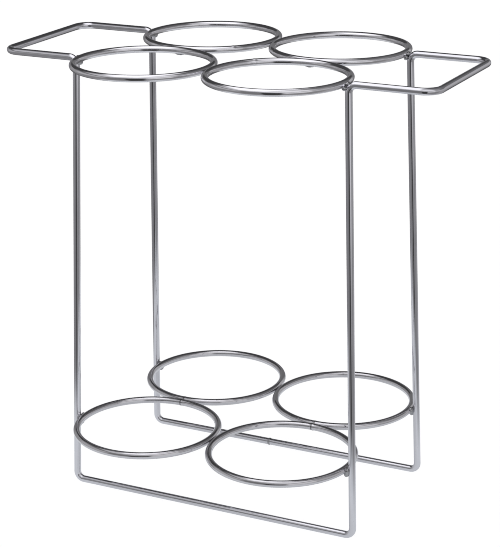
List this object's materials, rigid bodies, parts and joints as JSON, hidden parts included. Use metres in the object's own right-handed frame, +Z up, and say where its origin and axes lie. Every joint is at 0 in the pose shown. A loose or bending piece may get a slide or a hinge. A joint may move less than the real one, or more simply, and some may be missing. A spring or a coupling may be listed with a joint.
{
  "type": "wine rack",
  "caption": "Portable wire wine rack with paired top and bottom rings that hold bottles upright, on a bent wire frame with a looped handle at each end.",
  "frame": {"origin": "middle of the footprint, on the surface that the rack stands on", "axes": "+Z up, X from handle to handle with +X to the right as seen from the front, front towards -Y"},
  "size_m": [0.3308, 0.2162, 0.323],
  "materials": {
    "wire_chrome": "bright chrome plate with faint draw lines along the wire",
    "ring_chrome": "bright chrome plate on formed rings",
    "weld_chrome": "duller, slightly rough chrome plate over a weld bead"
  },
  "bodies": {
    "root": {"frame_wire": "wire_chrome", "frame_butt_weld": "weld_chrome", "top_ring_front_left": "ring_chrome", "top_ring_front_right": "ring_chrome", "top_ring_back_left": "ring_chrome", "top_ring_back_right": "ring_chrome", "bottom_ring_front_left": "ring_chrome", "bottom_ring_front_right": "ring_chrome", "bottom_ring_back_left": "ring_chrome", "bottom_ring_back_right": "ring_chrome", "top_rings_weld_front": "weld_chrome", "top_rings_weld_back": "weld_chrome", "top_rings_weld_left": "weld_chrome", "top_rings_weld_right": "weld_chrome", "bottom_rings_weld_front": "weld_chrome", "bottom_rings_weld_back": "weld_chrome", "bottom_rings_weld_left": "weld_chrome", "bottom_rings_weld_right": "weld_chrome", "top_frame_weld_front_left": "weld_chrome", "top_frame_weld_front_right": "weld_chrome", "top_frame_weld_back_left": "weld_chrome", "top_frame_weld_back_right": "weld_chrome", "bottom_frame_weld_front_left": "weld_chrome", "bottom_frame_weld_front_right": "weld_chrome", "bottom_frame_weld_back_left": "weld_chrome", "bottom_frame_weld_back_right": "weld_chrome"}
  },
  "joints": []
}
